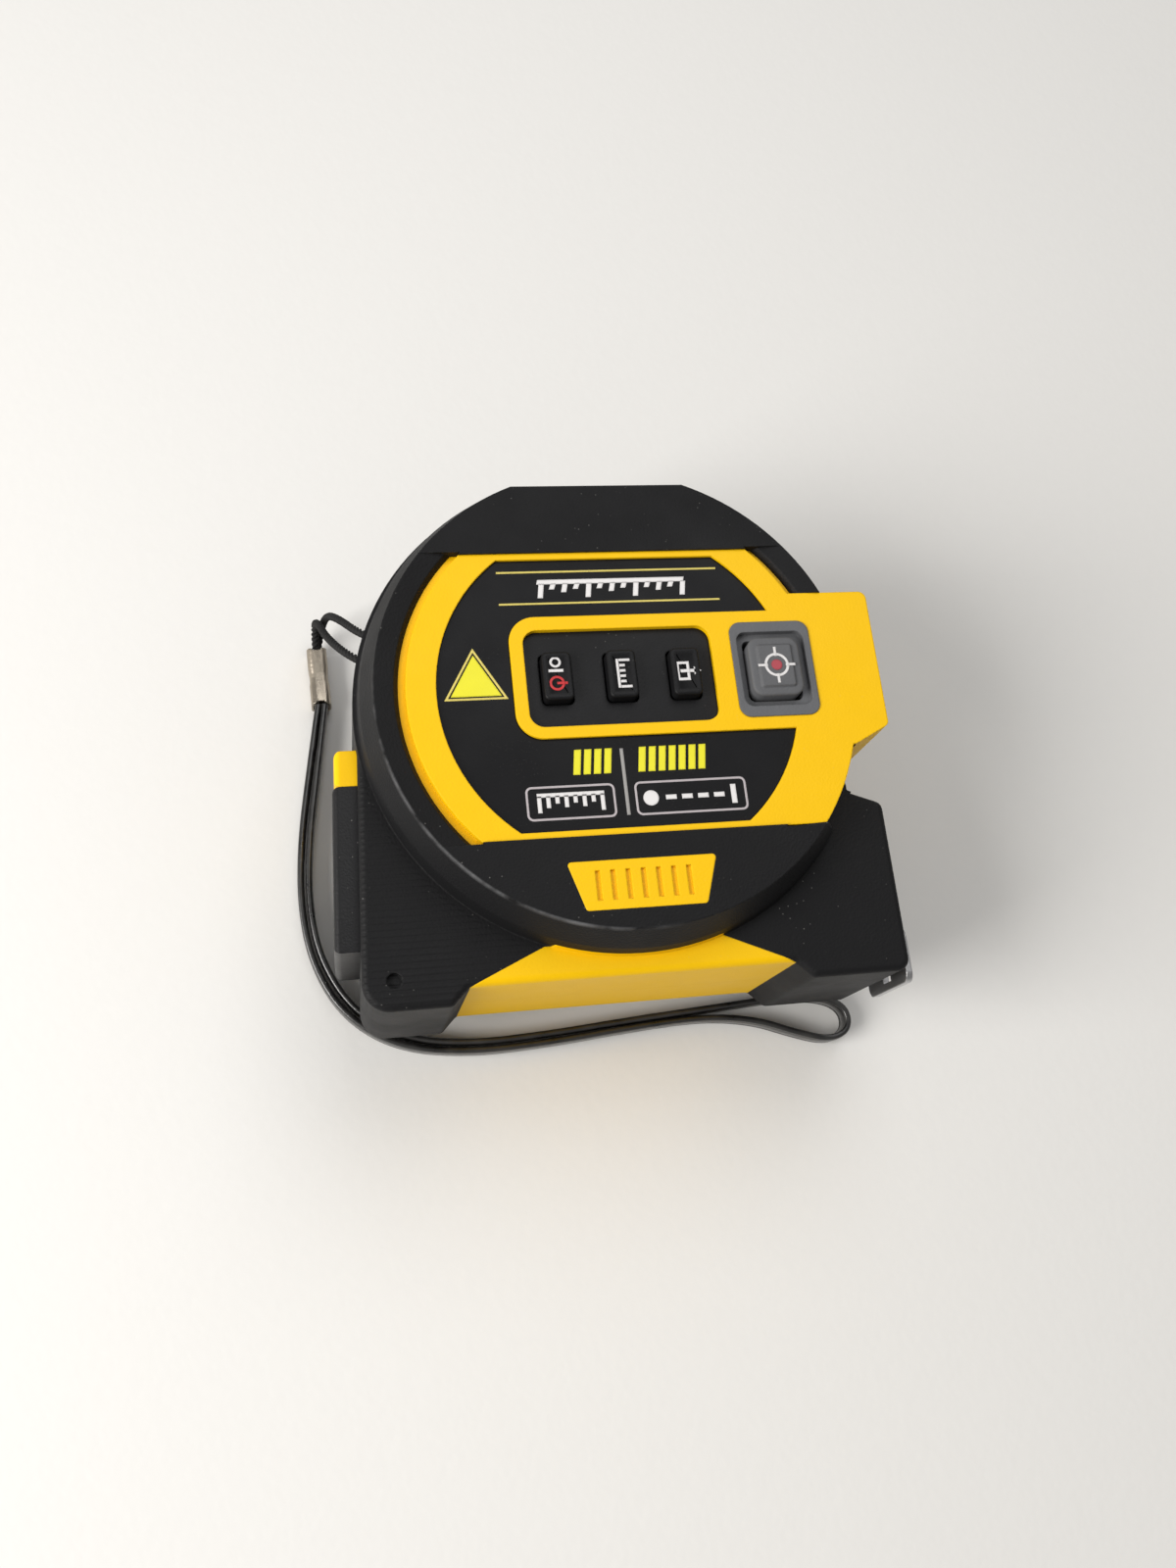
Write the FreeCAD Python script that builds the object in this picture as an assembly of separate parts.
"""Pocket tape measure with a laser distance meter, modelled in millimetres.

The case lies on its belt clip: +X is the way the blade leaves, +Y runs from the base to the top of the
round case, and +Z comes out of the front panel. While it is modelled, (0, 0) is the centre of the round
dome and z = 0 is the surface that the clip lies on. `main` then moves everything so that the origin is
the middle of the object's footprint.
"""
import math
import os

import FreeCAD
import Part

V = FreeCAD.Vector

# ---------------------------------------------------------------- driving dimensions
# Round case, seen from the front
CASE_R = 39.0            # outer radius of the round case
TOP_FLAT = CASE_R - 3.2  # height of the flat on top of the round case
TOP_CREST = TOP_FLAT - 2.3     # where that flat leans in to meet the crest of the ring
CREST_R = CASE_R - 2.9   # radius of that crest
REAR_TOP = (0.8 - CASE_R, 7.0)  # the rear wall leans a little from here
REAR_X = -CASE_R - 1.1   # to here, at the base
NOSE_X = CASE_R + 1.6    # front of the laser nose and of the mouth block
BASE_Y = -CASE_R - 4.6   # soles of the two rubber feet
FOOT_Y = BASE_Y + 2.5    # underside of the case between the feet
FOOT_IN = CASE_R - 15.0  # half the distance between the feet
FOOT_MID = -1.0          # middle of the gap between the feet
NOSE_TOP = 14.6          # upper edge of the laser nose
NOSE_LOW = -7.5          # its lower edge at the tip
NOTCH_X = NOSE_X - 5.6   # bottom of the thumb notch under the nose
NOTCH_TOP = -10.3
NOTCH_LOW = -15.4
BLOCK_TOP = -17.6        # top of the mouth block at its front edge

# Heights above the surface that it lies on
CLIP_T = 1.1             # belt clip sheet
Z_BACK = 6.5             # back of the round case
Z_BACK_EDGE = 10.0       # back of the square corners
Z_SPLIT = 24.0           # joint between the two halves, and middle of the blade
Z_PANEL = 45.1           # yellow front face
Z_CORNER = Z_PANEL - 7.1  # front of the square corners
Z_CREST = Z_PANEL + 0.4  # crest of the rubber ring

# Walls
RUBBER = 1.6             # overmoulded rubber skin
WALL = 2.0               # plastic wall behind it
FACE = 3.2               # plastic front face
EDGE_R = 1.0             # rounding of outer edges

# Front panel
DISC_R = CASE_R - 7.5    # yellow disc
DISC_CHORD = 22.3        # its flats, above and below
GROOVE_DEEP = 1.4        # depth of the groove round the disc
LABEL_R = DISC_R - 4.4   # black label
LABEL_CHORD = DISC_CHORD - 1.0
LABEL_T = 0.4
LABEL_SINK = 0.45        # label face below the yellow
BAND = (-15.9, -7.3, 11.85)      # left end, lower and upper edge of the yellow band
BAND_R = 4.0
WINDOW = (-13.9, 14.65, -5.55, 9.7)   # keyboard window: x0, x1, y0, y1
WINDOW_R = 2.2
KEY = (4.4, 7.5)         # size of a small key
KEY_PITCH = 9.7
KEY_TOP = Z_PANEL + 0.9
BEZEL = (17.7, 30.2, -5.4, 9.9)       # grey bezel round the measure button
BEZEL_R = 1.8
BUTTON = (8.0, 9.4)
BUTTON_TOP = Z_PANEL + 1.5
KEY_GAP = 0.25           # clearance round keys and button
SKIRT = 1.6              # how far a rubber mat reaches under the face
DIMPLE = (REAR_X + 4.7, BASE_Y + 4.2)  # small dimple in the rear foot
DIMPLE_R = 1.1
PLATE = (10.9, 8.7, 13.0 - CASE_R, 5.9 - CASE_R)  # name plate: half widths at top and bottom, then its y

# Tape
BLADE_W = 19.0
BLADE_T = 0.14
BLADE_DIP = 2.0          # depth of the blade's curved section
BLADE_Y = BASE_Y + 4.3   # lowest line of the blade
COIL_R = 24.8
REEL = (-4.5, BLADE_Y + 27.9)  # axis of the reel
DRUM_R = 19.5
DRUM_T = 1.2
ARBOR_R = 3.6
SPRING_T = 0.18
SPRING_PITCH = 1.1
RUN = 0.06               # clearance of the drum on its arbor
HOOK_T = 1.0
HOOK_W = 16.0

# Thumb lock
LOCK_W = 9.0
LOCK_TRAVEL = 1.6
LOCK_HEAD = 2.2          # height of its thumb piece

# Display pod on the rear wall
POD = (-34.5, -9.7)      # lower and upper end
POD_OUT = 3.7            # how far it stands out of the rear wall
POD_HALF = 11.0          # half its width across the case
CAP_TOP = -4.1           # top of the yellow cap above it

# Belt clip
CLIP_W = 20.0
CLIP_X = -2.0
CLIP_ROOT = (22.0, 11.0)  # end and start of the part screwed to the case
CLIP_FLAT = (4.0, -19.0)  # part that runs parallel to the case
CLIP_TIP = -25.0

# Wrist strap: a flat band on its edge, two strands side by side
STRAP_W = 3.8
STRAP_T = 1.0
STRING_D = 1.4
CRIMP_T = 0.35

SCREW_IN = (CASE_R - 4.35) * math.cos(math.pi / 4)  # the two upper screws stand inside the shoulders
SCREWS = (
    (REAR_X + 5.7, BASE_Y + 6.0),
    (-SCREW_IN, SCREW_IN),
    (SCREW_IN + 0.5, SCREW_IN),
    (CASE_R - 10.5, 13.5 - CASE_R),
)
SCREW_R = 1.1
BOSS_R = 3.0
CLIP_SCREW_Y = 16.5

EPS = 1.0                # overshoot of a cutting tool


# ---------------------------------------------------------------- helpers
def box(x0, x1, y0, y1, z0, z1):
    return Part.makeBox(x1 - x0, y1 - y0, z1 - z0, V(x0, y0, z0))


def disc(x, y, r, z0, z1):
    return Part.makeCylinder(r, z1 - z0, V(x, y, z0))


def bar(point, direction, r, length):
    return Part.makeCylinder(r, length, V(*point), V(*direction))


def rounded(points, z=0.0):
    """Closed wire through (x, y, corner radius) points, with a tangent arc at each corner."""
    corners = []
    count = len(points)
    for i, (x, y, r) in enumerate(points):
        here = V(x, y, z)
        before = V(*points[i - 1][:2], z) - here
        after = V(*points[(i + 1) % count][:2], z) - here
        if r == 0:
            corners.append((here, here, None))
            continue
        half = before.getAngle(after) / 2
        before.normalize()
        after.normalize()
        run = r / math.tan(half)
        middle = before + after
        middle.normalize()
        nearest = here + middle * (r / math.sin(half) - r)
        corners.append((here + before * run, here + after * run, nearest))
    edges = []
    for i, (start, end, nearest) in enumerate(corners):
        if nearest is not None:
            edges.append(Part.Arc(start, nearest, end).toShape())
        following = corners[(i + 1) % count][0]
        if (following - end).Length > 1e-6:
            edges.append(Part.LineSegment(end, following).toShape())
    return Part.Wire(edges)


def rect(x0, x1, y0, y1, r):
    return [(x0, y0, r), (x1, y0, r), (x1, y1, r), (x0, y1, r)]


def prism(points, z0, z1, grow=0.0):
    """Prism on a rounded outline, its sides moved outwards by grow."""
    wire = rounded(points, z0)
    if grow:
        wire = wire.makeOffset2D(grow, join=0)
    return Part.Face(wire).extrude(V(0, 0, z1 - z0))


def slab(points, x0, x1):
    """Prism along X on an outline of (y, z) points."""
    wire = Part.makePolygon([V(x0, y, z) for y, z in points + points[:1]])
    return Part.Face(wire).extrude(V(x1 - x0, 0, 0))


def ring(profile):
    """Solid of revolution about the dome's axis, from (radius, z) points."""
    wire = Part.makePolygon([V(r, 0, z) for r, z in profile + profile[:1]])
    return Part.Face(wire).revolve(V(0, 0, 0), V(0, 0, 1), 360)


def soften(solid, size, chosen):
    """Rounds the edges that the test picks."""
    edges = [e for e in solid.Edges if chosen(e)]
    return solid.makeFillet(size, edges) if edges else solid


def level(edge, z):
    return all(abs(v.Z - z) < 1e-4 for v in edge.Vertexes)


def union(first, *others):
    return first.fuse(list(others)).removeSplitter()


def solid_of(shape):
    """The one solid in a boolean's result."""
    assert len(shape.Solids) == 1, f"{len(shape.Solids)} solids where one is meant"
    return shape.Solids[0]


# ---------------------------------------------------------------- outline of the case
FOOT_L = FOOT_MID - FOOT_IN
FOOT_R = FOOT_MID + FOOT_IN
FOOT_ARC = 2.8 - CASE_R                # the yellow foot reaches up under the dome to here
FOOT_RUN = BASE_Y - FOOT_Y            # the ends of the feet slope at 45 degrees
LOWER = [
    (*REAR_TOP, 0),
    (REAR_X, BASE_Y, 4.0),
    (FOOT_L + FOOT_RUN, BASE_Y, 1.2),
    (FOOT_L, FOOT_Y, 1.2),
    (FOOT_R, FOOT_Y, 1.2),
    (FOOT_R - FOOT_RUN, BASE_Y, 1.2),
    (NOSE_X, BASE_Y, 2.0),
    (NOSE_X, BLOCK_TOP, 1.5),
    (NOTCH_X, NOTCH_LOW, 0.6),
    (NOTCH_X, NOTCH_TOP, 0),
]
NOTCH = [
    (NOTCH_X, NOTCH_LOW, 0.6),
    (NOSE_X + EPS * 4, BLOCK_TOP - 1.5, 0),
    (NOSE_X + EPS * 4, NOSE_LOW + 2.0, 0),
    (NOTCH_X, NOTCH_TOP, 0.6),
]
NOSE = [
    (20.0, NOTCH_TOP, 0),
    (NOTCH_X, NOTCH_TOP, 0.8),
    (NOSE_X, NOSE_LOW, 1.0),
    (NOSE_X, NOSE_TOP, 1.2),
    (20.0, NOSE_TOP, 0),
]


def round_case(inset, z0, z1):
    """The round part of the case with its flat top, drawn in by inset."""
    r = CASE_R - inset
    return disc(0, 0, r, z0, z1).common(box(-r, r, -r, TOP_FLAT - inset, z0, z1))


def case_prism(inset, z0, z1, eased=None):
    """The whole outline of the case, drawn in by inset. Its edges at height eased are rounded."""
    lower = prism(LOWER, z0, z1, -inset)
    if eased is not None:
        lower = soften(lower, EDGE_R, lambda e: level(e, eased))
    body = union(round_case(inset, z0, z1), lower, prism(NOSE, z0, z1, -inset))
    return solid_of(body.cut(prism(NOTCH, z0 - EPS, z1 + EPS, inset)))


def dome(inset, z0):
    """The raised round front, from z0 up to the crest, drawn in by inset all over."""
    top = Z_CREST - inset
    foot = CASE_R - 0.5 - inset
    lip = CREST_R - inset
    shape = ring([(0, z0), (foot, z0), (foot, Z_CORNER), (foot - 0.5, Z_CORNER + 3.0), (lip, top), (0, top)])
    flat, crest = TOP_FLAT - 0.5 - inset, TOP_CREST - inset
    shape = shape.common(slab([(-CASE_R, z0 - EPS), (flat, z0 - EPS), (flat, Z_CORNER), (crest, top),
                               (crest, top + EPS), (-CASE_R, top + EPS)], -CASE_R, CASE_R))
    shape = shape.cut(prism(NOTCH, z0 - EPS, top + EPS, inset))
    return shape.cut(side_cut(inset, z0 - EPS))


def side_cut(inset, z0):
    """Takes the dome back to the notch wall between the lower flat and the nose."""
    sector = ring([(CASE_R - 3.0 - inset, z0), (CASE_R + 4, z0), (CASE_R + 4, Z_CREST + EPS),
                   (CASE_R - 3.0 - inset, Z_CREST + EPS)])
    low = max(z0, Z_CORNER)
    return sector.common(box(15, CASE_R + 4, -DISC_CHORD + inset, NOTCH_TOP, low, Z_CREST + EPS))


def back_dome(inset, z1):
    """The raised round back."""
    bottom = Z_BACK + inset
    foot = CASE_R - 0.5 - inset
    shape = ring([(0, bottom), (foot - 2.6, bottom), (foot - 1.6, bottom + 0.9), (foot, Z_BACK_EDGE),
                  (foot, z1), (0, z1)])
    shape = shape.common(box(-CASE_R, CASE_R, -CASE_R, TOP_FLAT - inset, bottom - EPS, z1 + EPS))
    return shape.cut(prism(NOTCH, bottom - EPS, z1 + EPS, inset))


def panel_zone(z0, z1, grow=0.0):
    """Everything that shows yellow on the front: the disc between its flats, the band and the nose."""
    round_part = disc(0, 0, DISC_R + grow, z0, z1).common(
        box(-DISC_R - grow, DISC_R + grow, -DISC_CHORD - grow, DISC_CHORD + grow, z0, z1))
    lower_right = disc(0, 0, CASE_R - 3.0, z0, z1).common(
        box(15, CASE_R, -DISC_CHORD - grow, NOTCH_TOP, z0, z1))
    nose = prism(NOSE, z0, z1).common(box(20, NOSE_X + EPS, NOTCH_TOP, NOSE_TOP, z0, z1))
    return union(round_part, lower_right, nose)


def foot_zone(z0, z1):
    """The yellow foot between the two rubber feet, under the arc of the dome."""
    points = [(FOOT_L, FOOT_Y - EPS, 0), (FOOT_R, FOOT_Y - EPS, 0), (FOOT_R, FOOT_Y, 0),
              (FOOT_MID + 13.0, FOOT_ARC, 0), (FOOT_MID - 13.0, FOOT_ARC, 0), (FOOT_L, FOOT_Y, 0)]
    return prism(points, z0, z1)


def plate_zone(z0, z1):
    """The trapezium window under the panel."""
    top, low, y1, y0 = PLATE
    return prism([(-low, y0, 0.5), (low, y0, 0.5), (top, y1, 0.5), (-top, y1, 0.5)], z0, z1)


# ---------------------------------------------------------------- the two halves of the case
def front_envelope():
    """Full outer form of the front half."""
    corner = case_prism(0, Z_SPLIT, Z_CORNER, Z_CORNER)
    body = union(corner, dome(0, Z_SPLIT))
    nose = prism(NOSE, Z_SPLIT, Z_PANEL).common(box(20, NOSE_X + EPS, -CASE_R, CASE_R, Z_SPLIT, Z_PANEL))
    body = union(body, nose)
    return body.cut(panel_zone(Z_PANEL, Z_CREST + EPS))


def groove():
    """Sloping groove in the rubber ring, beside the curved edges of the yellow disc."""
    deep = Z_PANEL - GROOVE_DEEP
    lip = CREST_R
    cut = ring([(DISC_R, deep), (DISC_R + 0.9, deep), (DISC_R + 1.7, Z_CREST - 0.6), (lip, Z_CREST),
                (lip, Z_CREST + EPS), (DISC_R, Z_CREST + EPS)])
    reach = DISC_CHORD + 0.3
    cut = cut.common(box(-CASE_R, CASE_R, -reach, reach, deep, Z_CREST + EPS))
    return cut.cut(panel_zone(deep - EPS, Z_CREST + 2 * EPS))


def front_core():
    """What the front half would be without its rubber."""
    core = union(case_prism(RUBBER, Z_SPLIT, Z_CORNER - RUBBER), dome(RUBBER, Z_SPLIT))
    zones = union(panel_zone(Z_SPLIT, Z_CREST), foot_zone(Z_SPLIT, Z_CORNER + EPS),
                  plate_zone(Z_SPLIT, Z_CREST))
    return union(core, front_envelope().common(zones))


def front_cavity():
    """Hollow of the front half."""
    inset = RUBBER + WALL
    return union(
        case_prism(inset, Z_SPLIT - EPS, Z_CORNER - RUBBER - WALL),
        dome(inset, Z_SPLIT - EPS).common(box(-CASE_R, CASE_R, -CASE_R, CASE_R, 0, Z_PANEL - FACE)),
        box(15, NOSE_X - WALL, NOSE_LOW + WALL - 0.8, NOSE_TOP - WALL, Z_SPLIT - EPS, Z_PANEL - FACE),
    )


def back_core():
    """What the back half would be without its rubber."""
    core = union(case_prism(RUBBER, Z_BACK_EDGE + RUBBER, Z_SPLIT), back_dome(RUBBER, Z_SPLIT))
    zones = union(nose_zone(Z_BACK_EDGE - EPS, Z_SPLIT), foot_zone(Z_BACK_EDGE - EPS, Z_SPLIT))
    return union(core, back_envelope().common(zones))


def nose_zone(z0, z1):
    """The yellow nose, seen from the front."""
    return prism(NOSE, z0, z1).common(box(27, NOSE_X + EPS, NOTCH_TOP, NOSE_TOP, z0, z1))


def back_envelope():
    corner = case_prism(0, Z_BACK_EDGE, Z_SPLIT, Z_BACK_EDGE)
    return union(corner, back_dome(0, Z_SPLIT))


def back_cavity():
    inset = RUBBER + WALL
    return union(
        case_prism(inset, Z_BACK_EDGE + RUBBER + WALL, Z_SPLIT + EPS),
        back_dome(inset, Z_SPLIT + EPS),
        box(15, NOSE_X - WALL, NOSE_LOW + WALL - 0.8, NOSE_TOP - WALL,
            Z_BACK_EDGE + WALL + RUBBER, Z_SPLIT + EPS),
    )


def blade_path():
    """Channel along the base that the blade runs through, open at the mouth."""
    half = BLADE_W / 2 + 0.5
    return box(REEL[0] - 8, NOSE_X + EPS, BLADE_Y - 0.3, BLADE_Y + BLADE_DIP + 1.2,
               Z_SPLIT - half, Z_SPLIT + half)


def mouth_seat():
    """Room for the mouth guide behind the front wall of the mouth block."""
    x0, x1, y0, y1, z0, z1 = MOUTH
    return box(x0, x1, y0, y1, z0, z1)


MOUTH = (NOSE_X - 6.0, NOSE_X + 0.3, BLADE_Y - 2.1, BLADE_Y + BLADE_DIP + 2.7,
         Z_SPLIT - BLADE_W / 2 - 2.0, Z_SPLIT + BLADE_W / 2 + 2.0)
LOCK_X = (NOTCH_X - 2.2, NOTCH_X + 1.2)     # stem of the thumb lock
LOCK_HEAD_OUT = NOTCH_X + 4.2
SHOE_GAP = 0.1                              # left between the shoe and the blade when locked


def lock_path():
    """Slot that the thumb lock's stem slides in, from the notch to the blade."""
    half = LOCK_W / 2 + 0.3
    return box(LOCK_X[0] - 0.3, LOCK_X[1] + 0.3, BLADE_Y + BLADE_DIP + 0.8, NOTCH_TOP - 0.6,
               Z_SPLIT - half, Z_SPLIT + half)


def rear_line(y, out):
    """X of the leaning rear wall at height y, moved out by a distance."""
    x0, y0 = REAR_TOP
    return x0 + (REAR_X - x0) * (y - y0) / (BASE_Y - y0) - out


def rear_strip(y0, y1, near, far, half):
    """Block along the rear wall between two distances from it."""
    points = [(rear_line(y0, near), y0, 0), (rear_line(y1, near), y1, 0),
              (rear_line(y1, far), y1, 0), (rear_line(y0, far), y0, 0)]
    return prism(points, Z_SPLIT - half, Z_SPLIT + half)


POD_IN = RUBBER + WALL + 1.0                # the pod reaches this far inside the wall
USB = (3.0, 12.0, 6.0)                      # middle, length and width of the charging port's cover
USB_DEPTH = 1.6


def usb_recess():
    """Shallow seat for the charging port's cover on the flat top, and the hole under it."""
    middle, length, width = USB
    seat = box(middle - length / 2 - 0.2, middle + length / 2 + 0.2, TOP_FLAT - USB_DEPTH, TOP_FLAT + EPS,
               Z_SPLIT - width / 2 - 0.2, Z_SPLIT + width / 2 + 0.2)
    hole = box(middle - 4.8, middle + 4.8, TOP_FLAT - 6, TOP_FLAT, Z_SPLIT - 2.0, Z_SPLIT + 2.0)
    return union(seat, hole)


def optics_hole():
    return box(NOSE_X - WALL - EPS, NOSE_X + EPS, *OPTICS_Y, Z_SPLIT - OPTICS_HALF, Z_SPLIT + OPTICS_HALF)


OPTICS_Y = (-3.9, 11.0)
OPTICS_HALF = 9.5


def half_of(shape, side):
    """The part of a shape in the front half (side 1) or in the back half (side -1)."""
    z0, z1 = (Z_SPLIT, Z_CREST + EPS) if side > 0 else (0, Z_SPLIT)
    return shape.common(box(-60, 60, -60, 60, z0, z1))


def through_cuts():
    """Openings that cross both halves of the case."""
    return union(
        blade_path(),
        mouth_seat(),
        lock_path(),
        usb_recess(),
        optics_hole(),
        lanyard_pocket(),
        rear_strip(POD[0], CAP_TOP, -POD_IN, POD_OUT + EPS, POD_HALF),
    )


def bosses(z0, z1):
    posts = [disc(x, y, BOSS_R, z0, z1) for x, y in SCREWS]
    return posts[0].fuse(posts[1:])


def screw_holes(z0, z1, r):
    holes = [disc(x, y, r, z0, z1) for x, y in SCREWS]
    return holes[0].fuse(holes[1:])


def front_shell():
    """Yellow front half, with the panel, the keyboard window and the foot."""
    shell = front_core().cut(front_cavity())
    inside = case_prism(RUBBER + 0.5, Z_SPLIT, Z_PANEL - FACE)
    shell = union(shell, bosses(Z_SPLIT, Z_CORNER - RUBBER - EPS).common(inside), half_of(pocket_wall(), 1))
    shell = shell.cut(through_cuts()).cut(lanyard_bar(0.02))
    shell = shell.cut(screw_holes(Z_SPLIT - EPS, Z_SPLIT + 7.0, SCREW_R - 0.15))
    shell = shell.cut(label_shape(Z_PANEL - LABEL_SINK - LABEL_T, Z_PANEL + EPS))
    shell = shell.cut(prism(rect(*WINDOW, WINDOW_R), Z_PANEL - FACE - EPS, Z_PANEL + EPS))
    shell = shell.cut(prism(rect(*BEZEL, BEZEL_R), Z_PANEL - FACE - EPS, Z_PANEL + EPS))
    return solid_of(shell.cut(plate_flutes()))


def plate_flutes():
    """Shallow vertical flutes in the name plate."""
    top, low, y1, y0 = PLATE
    flutes = [box(x - 0.35, x + 0.35, y0 + 1.4, y1 - 1.4, Z_CREST - 0.4, Z_CREST + EPS)
              for x in [-6.6 + 2.2 * i for i in range(7)]]
    return flutes[0].fuse(flutes[1:])


def front_rubber():
    """Black rubber moulded over the front half."""
    zones = union(panel_zone(Z_SPLIT - EPS, Z_CREST + EPS), foot_zone(Z_SPLIT - EPS, Z_CORNER + EPS),
                  plate_zone(Z_SPLIT - EPS, Z_CREST + EPS))
    skin = front_envelope().cut(zones)
    skin = skin.cut(union(case_prism(RUBBER, Z_SPLIT - EPS, Z_CORNER - RUBBER), dome(RUBBER, Z_SPLIT - EPS)))
    skin = skin.cut(through_cuts()).cut(lanyard_bar(0.02))
    skin = skin.cut(disc(*DIMPLE, DIMPLE_R, Z_CORNER - 0.8, Z_CORNER + EPS))
    return skin.cut(groove())


def back_shell():
    """Back half, with the screw bosses, the lanyard eye and the clip's seat."""
    shell = back_core().cut(back_cavity())
    inside = case_prism(RUBBER + 0.5, Z_BACK_EDGE + RUBBER + 0.5, Z_SPLIT)
    shell = union(shell, bosses(Z_BACK_EDGE + RUBBER + EPS, Z_SPLIT).common(inside),
                  half_of(pocket_wall(), -1))
    shell = shell.cut(through_cuts()).cut(lanyard_bar(0.02))
    shell = shell.cut(screw_holes(Z_BACK, Z_SPLIT + EPS, SCREW_R + 0.2))
    shell = shell.cut(screw_holes(Z_BACK, SCREW_SEAT, 2.4))
    shell = shell.cut(disc(*REEL, ARBOR_R + 1.4 + RUN, Z_BACK + RUBBER - EPS, Z_BACK + RUBBER + WALL + EPS))
    shell = shell.cut(disc(CLIP_X, CLIP_SCREW_Y, 1.2, Z_BACK, Z_BACK + RUBBER + WALL - 0.2))
    return solid_of(shell)


SCREW_SEAT = Z_BACK_EDGE + 4.5


def back_rubber():
    """Black rubber moulded over the back half."""
    zones = union(nose_zone(Z_BACK_EDGE - EPS, Z_SPLIT + EPS), foot_zone(Z_BACK_EDGE - EPS, Z_SPLIT + EPS))
    skin = back_envelope().cut(zones)
    skin = skin.cut(union(case_prism(RUBBER, Z_BACK_EDGE + RUBBER, Z_SPLIT + EPS),
                          back_dome(RUBBER, Z_SPLIT + EPS)))
    skin = skin.cut(through_cuts()).cut(lanyard_bar(0.02))
    skin = skin.cut(screw_holes(Z_BACK - EPS, Z_SPLIT, 2.6))
    return skin.cut(disc(CLIP_X, CLIP_SCREW_Y, 1.3, Z_BACK - EPS, Z_BACK + 8))


# ---------------------------------------------------------------- front panel
def label_shape(z0, z1):
    """Black label: a disc between two flats, cut out round the yellow band."""
    shape = disc(0, 0, LABEL_R, z0, z1).common(
        box(-LABEL_R, LABEL_R, -LABEL_CHORD, LABEL_CHORD, z0, z1))
    left, low, high = BAND
    band = prism([(left, low, BAND_R), (NOSE_X, low, 0), (NOSE_X, high, 0), (left, high, BAND_R)], z0, z1)
    return shape.cut(band)


def key_centres():
    middle = (WINDOW[0] + WINDOW[1]) / 2
    y = (WINDOW[2] + WINDOW[3]) / 2
    return [(middle + KEY_PITCH * i, y) for i in (-1, 0, 1)]


def block(cx, cy, size, z0, z1, r, grow=0.0):
    w, h = size[0] / 2 + grow, size[1] / 2 + grow
    return prism(rect(cx - w, cx + w, cy - h, cy + h, r), z0, z1)


MAT_Z = (Z_PANEL - FACE - 1.0, Z_PANEL - FACE)
MAT_FACE = Z_PANEL - 0.9


def keypad_mat():
    """Black rubber mat behind the keyboard window, with a hole for each key."""
    x0, x1, y0, y1 = WINDOW
    mat = union(
        prism(rect(x0 - SKIRT, x1 + SKIRT, y0 - SKIRT, y1 + SKIRT, WINDOW_R), *MAT_Z),
        prism(rect(x0, x1, y0, y1, WINDOW_R), MAT_Z[0], MAT_FACE),
    )
    for cx, cy in key_centres():
        mat = mat.cut(block(cx, cy, KEY, MAT_Z[0] - EPS, MAT_FACE + EPS, 0.8, KEY_GAP))
    return mat


def key(index):
    cx, cy = key_centres()[index]
    body = block(cx, cy, KEY, MAT_Z[0] + 0.6, KEY_TOP, 0.8)
    return soften(body, 0.4, lambda e: level(e, KEY_TOP))


def button_centre():
    return (BEZEL[0] + BEZEL[1]) / 2, (BEZEL[2] + BEZEL[3]) / 2


def measure_bezel():
    """Grey rubber surround of the measure button, with a moat round the button."""
    x0, x1, y0, y1 = BEZEL
    skirt = (BEZEL[0] - WINDOW[1] - SKIRT) - 0.3
    top = Z_PANEL + 0.2
    mat = union(
        prism(rect(x0 - skirt, x1 + skirt, y0 - skirt / 2, y1 + skirt, BEZEL_R), *MAT_Z),
        prism(rect(x0, x1, y0, y1, BEZEL_R), MAT_Z[0], top),
    )
    cx, cy = button_centre()
    mat = mat.cut(block(cx, cy, BUTTON, Z_PANEL - 0.9, top + EPS, 1.4, 1.3))
    return mat.cut(block(cx, cy, BUTTON, MAT_Z[0] - EPS, top + EPS, 1.0, KEY_GAP))


def measure_button():
    cx, cy = button_centre()
    body = block(cx, cy, BUTTON, MAT_Z[0] + 0.9, BUTTON_TOP, 1.0)
    return soften(body, 0.6, lambda e: level(e, BUTTON_TOP))


# ---------------------------------------------------------------- electronics
PCB_Z = (Z_PANEL - 6.9, Z_PANEL - 5.3)
USB_REACH = 9.5          # how far the charging board reaches in from the flat top
CELL_R = 5.0
CELL_L = 33.0
CELL = (-17.0, TOP_FLAT - USB_REACH - CELL_R - 0.9, Z_SPLIT - 3.0)   # middle of the cell's flat end
MID_Z = (Z_SPLIT + BLADE_W / 2 + 0.7, Z_SPLIT + BLADE_W / 2 + 1.9)


def main_board():
    """Circuit board behind the front panel, clipped under the face."""
    board = disc(0, 0, 30.0, *PCB_Z).common(box(-30, 30, -21, 18, *PCB_Z))
    nose = box(20, 33, NOSE_LOW + 3.0, NOSE_TOP - 3.0, *PCB_Z)
    return union(board, nose)


def tact_switches():
    places = key_centres() + [button_centre()]
    height = MAT_Z[0] - PCB_Z[1] - 0.05
    return Part.Compound([
        union(block(x, y, (4.0, 4.0), PCB_Z[1], PCB_Z[1] + height * 0.6, 0.4),
              disc(x, y, 1.1, PCB_Z[1], PCB_Z[1] + height)) for x, y in places])


def processor():
    return block(-6, -13, (8, 8), PCB_Z[1], PCB_Z[1] + 1.0, 0.3)


def buzzer():
    shape = disc(-18, -10, 4.5, PCB_Z[1], PCB_Z[1] + 1.6)
    return shape.cut(disc(-18, -10, 0.8, PCB_Z[1] + 0.8, PCB_Z[1] + 2))


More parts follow.
